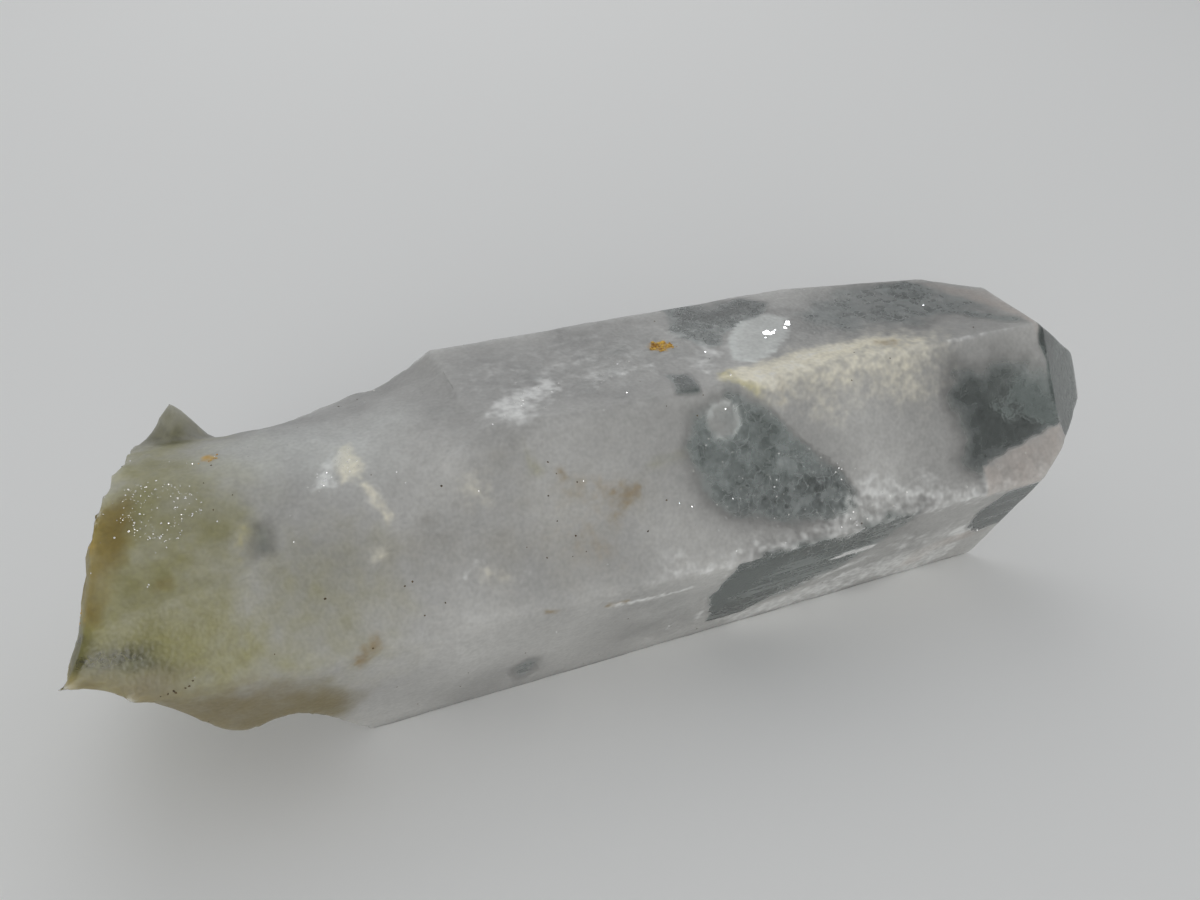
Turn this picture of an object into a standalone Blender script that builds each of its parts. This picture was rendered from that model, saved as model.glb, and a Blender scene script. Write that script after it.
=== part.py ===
# A single quartz crystal lying on one prism face, with a natural point at +X and a broken base at -X.
# Lengths are in metres. X runs along the crystal, Z is up, and the resting face lies on Z = 0.

import math

import bmesh
import bpy
import numpy as np
from mathutils import Vector, noise

# Prism: turn of each face about X from straight up, lean towards the point, distance from the axis at X = 0
AXIS_HEIGHT = 0.0129
PRISM_FACES = {
    "top": (0.0, 0.90, 0.01292),
    "back_up": (60.0, 0.50, 0.01250),
    "back_low": (120.0, 0.60, 0.01275),
    "bottom": (180.0, 0.0, 0.01290),
    "front_low": (240.0, 0.86, 0.01262),
    "front_up": (300.0, 0.45, 0.01296),
}
BLANK_SIZE = (0.130, 0.060, 0.060)

# Point: each of its faces leans 38.2 degrees from the prism face below it, as quartz grows, and starts
# at its own X there. The two back faces grew largest and make the point blunt.
POINT_LEAN = 38.2
POINT_STARTS = {
    "top": 0.0382,
    "back_up": 0.0309,
    "back_low": 0.0212,
    "bottom": 0.0376,
    "front_low": 0.0361,
    "front_up": 0.0386,
}

# Narrow faces along ridges, and one growth step at the back: the two faces that meet there, turn, lean,
# and the X where the face starts on the ridge
RIDGE_FACES = {
    "strip": ("front_low", "front_up", 248.0, -0.65, 0.0070),
    "worn_ridge": ("front_up", "top", 330.0, -1.6, -0.0010),
    "point_corner": ("top", "back_up", 30.0, 6.6, 0.0200),
    "back_step": ("back_up", "back_low", 104.0, 1.9, -0.0120),
}

# Break across the top towards the base: heights along its crest, and along the rim at the back
TOP_RIM_X = (-0.0500, -0.0363, -0.0315, -0.0289, -0.0251, -0.0227, -0.0195, -0.0175, -0.0152, -0.0131, -0.0118)
TOP_RIM_Z = (0.0198, 0.0201, 0.0184, 0.0187, 0.0187, 0.0197, 0.0205, 0.0209, 0.0232, 0.0262, 0.0285)
TOP_CREST_X = (-0.0500, -0.0420, -0.0300, -0.0190, -0.0145, -0.0131, -0.0118)
TOP_CREST_Z = (0.0252, 0.0255, 0.0254, 0.0255, 0.0257, 0.0262, 0.0285)
TOP_CREST_Y = -0.0025
TOP_RIM_Y = 0.0115
TOP_BACK_POWER = 1.7
TOP_FRONT_CURVE_X = (-0.0320, -0.0135)
TOP_FRONT_CURVE = (70.0, 14.0)

# Spike left standing at the back of that break
HORN_TIP = Vector((-0.0341, 0.0070, 0.0259))
HORN_HALF_WIDTHS_X = (0.0038, 0.0031)
HORN_HALF_WIDTH_Y = 0.0040
HORN_STEEPNESS = 0.0062
HORN_BLUNTNESS = 0.18
HORN_SQUARENESS = 1.35

# Slanting break that ends the crystal
END_CENTRE = Vector((-0.0386, 0.0, 0.0259))
END_SLOPE_Y = 0.357
END_SLOPE_Z = 0.300
END_BULGE = 0.0004
END_BULGE_WIDTH = 0.026

# Break that rises under the base from the resting face
UNDER_X = (-0.0540, -0.0461, -0.0430, -0.0398, -0.0368, -0.0344, -0.0318, -0.0300, -0.0271, -0.0240, -0.0228)
UNDER_Z = (0.0190, 0.0156, 0.0142, 0.0117, 0.0083, 0.0067, 0.0077, 0.0072, 0.0043, 0.0009, -0.0010)
UNDER_FRONT_Y = -0.0100
UNDER_SKEW = 0.35

# Roughness of the breaks: soft lumps, and rings that spread from where each flake was struck off
LUMP_SIZE = 0.0055
LUMP_HEIGHT = 0.00038
LUMP_GAIN = 2.1
LUMP_LAYERS = 4
RING_SPACING = 0.0032
RING_HEIGHT = 0.00010
RING_REACH = 0.012

# Sheets that cut the breaks: the spans they cover, the way the cut reaches, and the roughness of each
CUTTER_STEP = 0.00075
BREAKS = {
    "top": {
        "x": (-0.0500, -0.0118),
        "y": (-0.0200, 0.0200),
        "away": Vector((0.0, 0.0, 0.0200)),
        "struck": Vector((-0.0225, 0.0100, 0.0)),
        "rough": 1.0,
        "shift": 3.7,
    },
    "end": {
        "y": (-0.0200, 0.0200),
        "z": (-0.0050, 0.0320),
        "away": Vector((-0.0400, 0.0, 0.0)),
        "struck": Vector((0.0, -0.0060, 0.0240)),
        "rough": 1.5,
        "shift": 11.3,
    },
    "under": {
        "x": (-0.0560, -0.0160),
        "y": (-0.0200, 0.0200),
        "away": Vector((0.0, 0.0, -0.0300)),
        "struck": Vector((-0.0330, -0.0020, 0.0)),
        "rough": 1.6,
        "shift": 7.9,
    },
}

# Chips along the ridges: the two faces that meet there, X, radius of the flake, depth
CHIP_STRETCH = 1.25
CHIP_LUMP = 0.07
CHIPS = (
    ("front_up", "top", -0.0105, 0.0045, 0.0006),
    ("back_up", "back_low", -0.0030, 0.0050, 0.0010),
    ("back_up", "back_low", -0.0215, 0.0038, 0.0007),
    ("back_low", "bottom", 0.0120, 0.0040, 0.0008),
    ("back_low", "bottom", -0.0120, 0.0032, 0.0006),
    ("front_low", "front_up", -0.0190, 0.0040, 0.0009),
)

# Moves the finished crystal so that its box is centred over the origin
CENTRING = Vector((0.00021, -0.00016, 0.0))

QUARTZ_COLOUR = (0.376, 0.362, 0.352, 1.0)
QUARTZ_ROUGHNESS = 0.22


def clear_scene():
    for item in list(bpy.data.objects):
        bpy.data.objects.remove(item, do_unlink=True)


def new_collection(name):
    collection = bpy.data.collections.new(name)
    bpy.context.scene.collection.children.link(collection)
    return collection


def object_from(bm, name, collection):
    bmesh.ops.recalc_face_normals(bm, faces=bm.faces)
    mesh = bpy.data.meshes.new(name)
    bm.to_mesh(mesh)
    bm.free()
    made = bpy.data.objects.new(name, mesh)
    collection.objects.link(made)
    return made


# A direction square to the crystal's axis, turned about X from straight up towards +Y
def outward(turn):
    angle = math.radians(turn)
    return Vector((0.0, math.sin(angle), math.cos(angle)))


# Distance of a prism face from the axis at this X
def distance_at(name, x):
    _, lean, distance = PRISM_FACES[name]
    return distance - x * math.tan(math.radians(lean))


# The normal of a face with this turn about X and this lean towards the point
def face_normal(turn, lean):
    angle = math.radians(lean)
    return outward(turn) * math.cos(angle) + Vector((math.sin(angle), 0.0, 0.0))


# The point at this X where two neighbouring prism faces meet
def ridge_point(first, second, x):
    sides = np.array([outward(PRISM_FACES[name][0])[1:] for name in (first, second)])
    y, z = np.linalg.solve(sides, [distance_at(name, x) for name in (first, second)])
    return Vector((x, float(y), float(z) + AXIS_HEIGHT))


# Cuts off what lies beyond a plane and closes the cut with one flat face
def trim(bm, point, normal):
    everything = bm.verts[:] + bm.edges[:] + bm.faces[:]
    cut = bmesh.ops.bisect_plane(
        bm, geom=everything, dist=1e-7, plane_co=point, plane_no=normal, clear_outer=True
    )
    rim = [item for item in cut["geom_cut"] if isinstance(item, bmesh.types.BMEdge)]
    bmesh.ops.holes_fill(bm, edges=rim, sides=0)


# A long block that takes the prism's six faces
def add_prism(bm):
    bmesh.ops.create_cube(bm, size=1.0)
    bmesh.ops.scale(bm, vec=BLANK_SIZE, verts=bm.verts)
    bmesh.ops.translate(bm, vec=(0.0, 0.0, AXIS_HEIGHT), verts=bm.verts)
    for name, (turn, lean, distance) in PRISM_FACES.items():
        on_face = outward(turn) * distance + Vector((0.0, 0.0, AXIS_HEIGHT))
        trim(bm, on_face, face_normal(turn, lean))


# The six faces of the point
def cut_point(bm):
    for name, start in POINT_STARTS.items():
        turn = PRISM_FACES[name][0]
        on_face = outward(turn) * distance_at(name, start) + Vector((start, 0.0, AXIS_HEIGHT))
        trim(bm, on_face, face_normal(turn, POINT_LEAN))


# Faces that start at one place on a ridge and widen away from there
def cut_ridge_faces(bm):
    for first, second, turn, lean, start in RIDGE_FACES.values():
        trim(bm, ridge_point(first, second, start), face_normal(turn, lean))


def make_crystal(collection):
    bm = bmesh.new()
    add_prism(bm)
    cut_point(bm)
    cut_ridge_faces(bm)
    return object_from(bm, "quartz_crystal", collection)


# Lumps and rings of a fracture surface, as a height over its smooth form
def fracture(position, sheet):
    shifted = position / LUMP_SIZE + Vector((sheet["shift"], 0.0, 0.0))
    lumps = LUMP_HEIGHT * noise.fractal(shifted, 1.0, LUMP_GAIN, LUMP_LAYERS)
    reach = (position - sheet["struck"]).length
    rings = RING_HEIGHT * math.cos(2.0 * math.pi * reach / RING_SPACING)
    return sheet["rough"] * (lumps + rings * math.exp(-reach / RING_REACH))


# The spike: a steep tent with a blunt tip, as a height that the break can't fall below
def horn_height(x, y):
    across = abs(x - HORN_TIP.x) / HORN_HALF_WIDTHS_X[x > HORN_TIP.x]
    along = abs(y - HORN_TIP.y) / HORN_HALF_WIDTH_Y
    reach = (across**HORN_SQUARENESS + along**HORN_SQUARENESS) ** (1.0 / HORN_SQUARENESS)
    return HORN_TIP.z - HORN_STEEPNESS * (math.hypot(reach, HORN_BLUNTNESS) - HORN_BLUNTNESS)


# The top break is highest along its crest, falls to the rim at the back and rounds off the front ridge
def top_break(x, y):
    rim = float(np.interp(x, TOP_RIM_X, TOP_RIM_Z))
    crest = float(np.interp(x, TOP_CREST_X, TOP_CREST_Z))
    back = max(y - TOP_CREST_Y, 0.0) / (TOP_RIM_Y - TOP_CREST_Y)
    front = max(TOP_CREST_Y - y, 0.0)
    curve = float(np.interp(x, TOP_FRONT_CURVE_X, TOP_FRONT_CURVE))
    height = crest + (rim - crest) * back**TOP_BACK_POWER - curve * front * front
    height += fracture(Vector((x, y, 0.0)), BREAKS["top"])
    return max(height, horn_height(x, y))


# The end break slants back from the front ridge and leans in towards the resting face
def end_break(y, z):
    flat = END_CENTRE.x + END_SLOPE_Y * y + END_SLOPE_Z * (z - END_CENTRE.z)
    bulge = END_BULGE * math.cos(math.pi * y / END_BULGE_WIDTH)
    return flat - bulge + fracture(Vector((0.0, y, z)), BREAKS["end"])


# The lower break starts further from the point at the back than at the front
def under_break(x, y):
    along = x + UNDER_SKEW * (y - UNDER_FRONT_Y)
    height = float(np.interp(along, UNDER_X, UNDER_Z))
    return height + fracture(Vector((x, y, 0.0)), BREAKS["under"])


# A cutter whose one side is a break surface and that reaches away from the crystal behind it.
# place turns two distances along the sheet into a point on the break.
def make_break_cutter(name, across, along, place, collection):
    bm = bmesh.new()
    columns = round((across[1] - across[0]) / CUTTER_STEP)
    rows = round((along[1] - along[0]) / CUTTER_STEP)
    bmesh.ops.create_grid(bm, x_segments=columns, y_segments=rows, size=1.0)
    for vert in bm.verts:
        u = across[0] + (across[1] - across[0]) * (vert.co.x + 1.0) / 2.0
        v = along[0] + (along[1] - along[0]) * (vert.co.y + 1.0) / 2.0
        vert.co = place(u, v)
    grown = bmesh.ops.extrude_face_region(bm, geom=bm.faces[:])
    moved = [item for item in grown["geom"] if isinstance(item, bmesh.types.BMVert)]
    bmesh.ops.translate(bm, verts=moved, vec=BREAKS[name]["away"])
    return object_from(bm, f"cut_{name}", collection)


# A point of each break from the two distances along its sheet
def top_point(x, y):
    return Vector((x, y, top_break(x, y)))


def end_point(y, z):
    return Vector((end_break(y, z), y, z))


def under_point(x, y):
    return Vector((x, y, under_break(x, y)))


# A shell-shaped chip: a lumpy ball that dips into the ridge by the given depth
def make_chip_cutter(index, chip, collection):
    first, second, x, radius, depth = chip
    bm = bmesh.new()
    bmesh.ops.create_icosphere(bm, subdivisions=3, radius=radius)
    for vert in bm.verts:
        lump = noise.noise(vert.co / (0.8 * radius) + Vector((index * 5.1, 0.0, 0.0)))
        vert.co = vert.co * (1.0 + CHIP_LUMP * lump)
        vert.co.x *= CHIP_STRETCH
    away = (outward(PRISM_FACES[first][0]) + outward(PRISM_FACES[second][0])).normalized()
    centre = ridge_point(first, second, x) + away * (radius - depth)
    bmesh.ops.translate(bm, verts=bm.verts, vec=centre)
    return object_from(bm, f"cut_chip_{index}", collection)


def make_cutters(collection):
    top, end, under = BREAKS["top"], BREAKS["end"], BREAKS["under"]
    cutters = [
        make_break_cutter("top", top["x"], top["y"], top_point, collection),
        make_break_cutter("end", end["y"], end["z"], end_point, collection),
        make_break_cutter("under", under["x"], under["y"], under_point, collection),
    ]
    for index, chip in enumerate(CHIPS):
        cutters.append(make_chip_cutter(index, chip, collection))
    return cutters


# Crystal and cutters hang on one empty, so they move together
def centre(things):
    holder = bpy.data.objects.new("crystal_centre", None)
    bpy.context.scene.collection.objects.link(holder)
    holder.location = CENTRING
    for thing in things:
        thing.parent = holder


def subtract(body, cutters):
    for cutter in cutters:
        cutter.hide_render = True
        cutter.display_type = "WIRE"
        modifier = body.modifiers.new(cutter.name, "BOOLEAN")
        modifier.operation = "DIFFERENCE"
        modifier.solver = "EXACT"
        modifier.object = cutter


def quartz_material():
    material = bpy.data.materials.new("milky_quartz")
    material.use_nodes = True
    shader = material.node_tree.nodes["Principled BSDF"]
    shader.inputs["Base Color"].default_value = QUARTZ_COLOUR
    shader.inputs["Roughness"].default_value = QUARTZ_ROUGHNESS
    shader.inputs["Metallic"].default_value = 0.0
    return material


def main():
    clear_scene()
    parts = new_collection("quartz_crystal_parts")
    helpers = new_collection("cutters")
    crystal = make_crystal(parts)
    crystal.data.materials.append(quartz_material())
    cutters = make_cutters(helpers)
    subtract(crystal, cutters)
    centre([crystal] + cutters)


main()
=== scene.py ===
# The looks of the quartz crystal: one loose milky point, lying on a prism face
import bmesh
import bpy
import math
import numpy as np
from mathutils import Matrix, Vector


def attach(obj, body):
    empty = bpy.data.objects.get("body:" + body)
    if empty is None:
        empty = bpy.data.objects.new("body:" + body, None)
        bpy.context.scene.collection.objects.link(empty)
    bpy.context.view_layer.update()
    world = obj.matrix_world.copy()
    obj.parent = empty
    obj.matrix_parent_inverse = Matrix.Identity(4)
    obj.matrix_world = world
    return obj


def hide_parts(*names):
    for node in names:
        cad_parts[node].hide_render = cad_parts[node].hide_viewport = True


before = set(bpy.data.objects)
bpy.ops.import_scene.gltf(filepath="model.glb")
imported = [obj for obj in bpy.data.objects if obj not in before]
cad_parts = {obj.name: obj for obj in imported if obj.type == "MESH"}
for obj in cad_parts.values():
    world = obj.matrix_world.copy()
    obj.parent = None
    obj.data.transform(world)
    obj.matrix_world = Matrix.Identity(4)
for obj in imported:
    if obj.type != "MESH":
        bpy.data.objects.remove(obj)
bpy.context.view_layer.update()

mm = 0.001
axisHeight = 12.9  # mm, the crystal's long axis above the floor
girth = 14.0       # mm, its mean radius, which turns degrees round it into mm


# small helpers

def linearColour(hexCode):
    # sRGB hex to linear light, with alpha 1
    parts = [int(hexCode[i:i + 2], 16) / 255 for i in (1, 3, 5)]
    return [p / 12.92 if p <= 0.04045 else ((p + 0.055) / 1.055) ** 2.4 for p in parts] + [1.0]


def setNode(tree, node, settings):
    # a node's properties and inputs. An input, named or numbered, gets a value, a hex colour or the socket
    # that feeds it, and a tuple of inputs gets a tuple of values
    for key, value in settings.items():
        if str(value).startswith("#"):
            value = linearColour(value)
        if isinstance(value, bpy.types.NodeSocket):
            tree.links.new(value, node.inputs[key])
        elif isinstance(key, tuple):
            setNode(tree, node, dict(zip(key, value)))
        elif isinstance(key, str) and hasattr(node, key):
            setattr(node, key, value)
        else:
            node.inputs[key].default_value = value


def addNode(tree, kind, settings=None, output=0):
    # adds one node with its settings and links, and returns one of its outputs
    node = tree.nodes.new("ShaderNode" + kind)
    setNode(tree, node, settings or {})
    return node.outputs[output]


def newMaterial(name):
    material = bpy.data.materials.new(name)
    material.use_nodes = True
    return material, material.node_tree, material.node_tree.nodes["Principled BSDF"]


def newObject(name, data):
    made = bpy.data.objects.new(name, data)
    bpy.context.scene.collection.objects.link(made)
    return made


def latticeNoise(points, size, seed):
    # random values on a cubic lattice of that size, blended smoothly between its corners, -1 to 1
    cell = points / size
    corner = np.floor(cell).astype(np.int64)
    part = cell - corner
    part = part * part * (3 - 2 * part)
    total = np.zeros(len(points))
    for i in range(8):
        step = np.array([i & 1, i >> 1 & 1, i >> 2 & 1])
        # large odd factors scatter a lattice corner's three numbers over 32 bits
        key = (corner + step) @ np.array([73856093, 19349663, 83492791]) + seed * 2654435
        key = (key ^ key >> 13) * 1274126177 & 0xFFFFFFFF
        key = (key ^ key >> 16) * 668265263 & 0xFFFFFFFF
        weight = np.prod(np.where(step, part, 1 - part), axis=1)
        total += weight * ((key ^ key >> 15 & 0xFFFF) / 0xFFFFFFFF)
    return 2 * total - 1


def roughNoise(points, size, seed, octaves=3):
    # a sum of lattice noises, each half as large and half as strong as the one before
    return sum(latticeNoise(points, size / 2 ** i, seed + i) / 2 ** i for i in range(octaves))


def ramp(value, low, high):
    # 0 below low, 1 above high, with a smooth rise between
    t = np.clip((value - low) / (high - low), 0, 1)
    return t * t * (3 - 2 * t)


def plateau(value, low, high, fall, end):
    # a ramp up from low to high, and down again from fall to end
    return ramp(value, low, high) * (1 - ramp(value, fall, end))


def bell(distance, band, steep=1):
    # 1 at no distance, fading as exp(-steep * (distance / band)^2)
    return np.exp(-steep * (distance / band) ** 2)


# the stage

stageSettings = {
    "floorColour": "#f0f0ee", "floorRoughness": 0.9, "floorSizeM": 6.0,
    "worldColour": "#eef0f3", "worldStrength": 0.52,
    "keyWatts": 0.225, "keySizeM": 0.30, "keySpreadDeg": 90, "keyAt": (-0.20, -0.42, 0.16),
    "fillWatts": 0.20, "fillSizeM": 0.30, "fillSpreadDeg": 180, "fillAt": (0.06, 0.28, 0.26),
    "cameraAt": (-0.03840, -0.08986, 0.0780), "azimuthDeg": -23, "elevationDeg": 32,
    "lensMm": 40, "sensorMm": 36, "nearestM": 0.005, "farthestM": 20,
}


def makeStage(s):
    scene = bpy.context.scene
    scene.view_settings.view_transform = "Standard"
    floorMesh = bpy.data.meshes.new("floor")
    h = s["floorSizeM"] / 2
    floorMesh.from_pydata([(-h, -h, 0), (h, -h, 0), (h, h, 0), (-h, h, 0)], [], [(0, 1, 2, 3)])
    paper, tree, shader = newMaterial("matt_paper")  # seamless paper: even and dull
    setNode(tree, shader, {"Base Color": s["floorColour"], "Roughness": s["floorRoughness"]})
    floorMesh.materials.append(paper)
    floor = newObject("floor", floorMesh)
    world = bpy.data.worlds.new("soft_room")
    world.use_nodes = True
    tree = world.node_tree
    setNode(tree, tree.nodes["Background"], {"Color": s["worldColour"], "Strength": s["worldStrength"]})
    scene.world = world
    for name in ("key", "fill"):
        lamp = bpy.data.lights.new(name, "AREA")
        lamp.energy = s[name + "Watts"]
        lamp.size = s[name + "SizeM"]
        lamp.spread = math.radians(s[name + "SpreadDeg"])
        lampObject = newObject(name, lamp)
        lampObject.location = s[name + "At"]
        lampObject.rotation_euler = (-Vector(s[name + "At"])).to_track_quat("-Z", "Y").to_euler()
    a, e = math.radians(s["azimuthDeg"]), math.radians(s["elevationDeg"])
    back = Vector((math.sin(a) * math.cos(e), -math.cos(a) * math.cos(e), math.sin(e)))
    right = Vector((math.cos(a), math.sin(a), 0))
    up = back.cross(right)
    lens = bpy.data.cameras.new("camera")
    lens.lens, lens.sensor_width = s["lensMm"], s["sensorMm"]
    lens.clip_start, lens.clip_end = s["nearestM"], s["farthestM"]
    scene.camera = newObject("camera", lens)
    turned = Matrix((right, up, back)).transposed().to_4x4()
    scene.camera.matrix_world = Matrix.Translation(s["cameraAt"]) @ turned


makeStage(stageSettings)
print("stage, lights and camera made")


# the crystal's surface

surfaceSettings = {
    # what counts as one point, one plane, a flat face and a ridge
    "weldMm": 0.002, "coplanarDeg": 0.35, "flatAreaMm2": 5.0, "ridgeDeg": 22,
    # cell width, and the edges longer than this that are halved, finer in a band along the crisp ridges
    "cellMm": 1.0, "cutMm": 0.04, "longestMm": 0.8, "ridgeEdgeMm": 0.26, "ridgeBandMm": 0.55,
    # rounding: how far from a ridge or crease it reaches, in how many rounds, and where it is
    "roundShare": 0.85, "blurRounds": 3,
    "wearMm": 0.28, "wearRounds": 6, "wearMean": 0.45, "wearVaries": 0.9, "leastWear": 0.08,
    "wearNoise": (2.6, 11),
    "fadedMm": 3.2, "fadedTurn": (62, 76, 112, 126), "fadedFromX": (3, -14),
    "softMm": 0.9, "softShare": 0.35, "softTurn": (12, 22, 40, 50), "softToX": (24, 30),
    "creaseMm": 3.4, "creaseSteep": 1.2, "creaseRounds": 60, "creaseZ": (15.5, 18.5), "creaseY": (-2, -5),
    "creaseX": (-47.5, -43, -13.5, -11.5), "breakRounds": 3, "breakShare": 0.6,
    # relief: depths, and noises with their size in mm, seed and octaves
    "hackleDepthMm": 0.16, "hackleNoise": (2.2, 21, 4), "hackleStretch": (0.8, 1, 1.3),
    "grainDepthMm": 0.05, "grainNoise": (0.7, 31, 2),
    "pitDepthMm": 0.02, "pitNoise": (3.0, 41), "pitRamp": (0.35, 0.75),
    "endX": (-37, -42), "endDepthMm": 0.16, "rippleFrom": (-43.0, -11.0, 21.0), "rippleMm": 3.4,
    "rippleDepthMm": 0.12, "rippleVariesMm": 0.8, "rippleNoise": (6.0, 51, 2),
    # chips that whiten the crisp ridges: worn chips, and a painted highlight along them
    "chipHighlightMm": 0.24, "chipHighlightNoise": (1.4, 91), "chipHighlightRamp": (-0.1, 0.6),
}


def meshedSolid(s):
    # a merged copy of the solid; its flat faces are cut into even cells, and cells near a ridge are halved.
    # Returns corner points in mm, triangles, each triangle's flat face number (0 on a break), ridge lines
    bm = bmesh.new()
    bm.from_mesh(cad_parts["quartz_crystal"].data)
    bmesh.ops.remove_doubles(bm, verts=bm.verts, dist=s["weldMm"] * mm)
    bmesh.ops.dissolve_limit(bm, angle_limit=math.radians(s["coplanarDeg"]), verts=bm.verts, edges=bm.edges)
    flat = bm.faces.layers.int.new("flat")
    normals = [Vector((0, 0, 0))]
    for face in bm.faces:
        if face.calc_area() > s["flatAreaMm2"] * mm * mm:
            face[flat] = len(normals)
            normals.append(face.normal.copy())
    ridges = []
    for edge in bm.edges:
        if edge.calc_face_angle(0) > math.radians(s["ridgeDeg"]):
            flatSides = sum(face[flat] > 0 for face in edge.link_faces)
            ridges.append([*(edge.verts[0].co / mm), *(edge.verts[1].co / mm), flatSides])
    ridges = np.array(ridges)
    crisp = ridges[ridges[:, 6] == 2]
    cell = s["cellMm"] * mm
    for number in range(len(normals)):  # 0 cuts all flat faces across, the others cut one face along
        along = Vector((1, 0, 0))
        direction = normals[number].cross(along).normalized() if number else along
        faces = [f for f in bm.faces if (f[flat] == number if number else f[flat] > 0)]
        reach = [v.co.dot(direction) for f in faces for v in f.verts]
        for i in range(math.ceil(min(reach) / cell), math.floor(max(reach) / cell) + 1):
            edges = list({e for f in faces for e in f.edges})
            verts = list({v for f in faces for v in f.verts})
            bmesh.ops.bisect_plane(bm, geom=verts + edges + faces, dist=s["cutMm"] * mm,
                                   plane_co=direction * i * cell, plane_no=direction)
            faces = [f for f in bm.faces if (f[flat] == number if number else f[flat] > 0)]
    bmesh.ops.triangulate(bm, faces=bm.faces)
    for limit, band in ((s["longestMm"], None), (2 * s["ridgeEdgeMm"], 1.6 * s["ridgeBandMm"]),
                        (s["ridgeEdgeMm"], s["ridgeBandMm"])):
        for _ in range(2):
            bm.verts.index_update()
            corners = np.array([v.co for v in bm.verts]) / mm
            near = lineDistance(corners, crisp) < band if band else np.ones(len(corners), bool)
            tooLong = [e for e in bm.edges if near[e.verts[0].index] and near[e.verts[1].index]
                       and e.calc_length() > limit * mm]
            if tooLong:
                bmesh.ops.subdivide_edges(bm, edges=tooLong, cuts=1)
                bmesh.ops.triangulate(bm, faces=[f for f in bm.faces if len(f.verts) > 3])
    mesh = bpy.data.meshes.new("scratch")
    bm.to_mesh(mesh)
    bm.free()
    points = np.empty(len(mesh.vertices) * 3)
    mesh.vertices.foreach_get("co", points)
    triangles = np.empty(len(mesh.polygons) * 3, np.int32)
    mesh.polygons.foreach_get("vertices", triangles)
    onFlat = np.empty(len(mesh.polygons), np.int32)
    mesh.attributes["flat"].data.foreach_get("value", onFlat)
    bpy.data.meshes.remove(mesh)
    return points.reshape(-1, 3) / mm, triangles.reshape(-1, 3), onFlat, ridges


def unfolded(points, triangles, onFlat):
    # cutting leaves a few tiny folds, where triangles share all three corners: the newest corner of each
    # moves onto its oldest until no fold is left. Corners that no triangle uses are dropped
    while True:
        trios, uses = np.unique(np.sort(triangles, axis=1), axis=0, return_counts=True)
        folds = trios[uses > 1]
        if not len(folds):
            break
        target = np.arange(len(points))
        target[folds[:, 2]] = folds[:, 0]
        triangles = target[triangles]
        whole = (np.diff(np.sort(triangles, axis=1), axis=1) > 0).all(axis=1)
        triangles, onFlat = triangles[whole], onFlat[whole]
    used, triangles = np.unique(triangles, return_inverse=True)
    return points[used], triangles.reshape(-1, 3), onFlat


def lineDistance(points, lines):
    # distance from each point to the nearest of the line pieces (their first six numbers)
    best = np.full(len(points), np.inf)
    for a, b in zip(lines[:, :3], lines[:, 3:6]):
        along = np.clip(((points - a) @ (b - a)) / ((b - a) @ (b - a)), 0, 1)
        best = np.minimum(best, np.linalg.norm(points - a - along[:, None] * (b - a), axis=1))
    return best


def cornerNormals(points, triangles):
    # the mean of the facing directions of the triangles at each corner, weighted by area
    a, b, c = (points[triangles[:, i]] for i in range(3))
    facing = np.cross(b - a, c - a)
    total = np.stack([sum(np.bincount(triangles[:, i], facing[:, k], len(points)) for i in range(3))
                      for k in range(3)], 1)
    return total / np.linalg.norm(total, axis=1)[:, None]


def neighbourMean(values, pairs, count):
    # the mean of the neighbours' values at each corner
    first, second = pairs.T
    sums = [np.bincount(first, column[second], len(values)) + np.bincount(second, column[first], len(values))
            for column in values.T]
    return np.stack(sums, 1) / count


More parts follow.
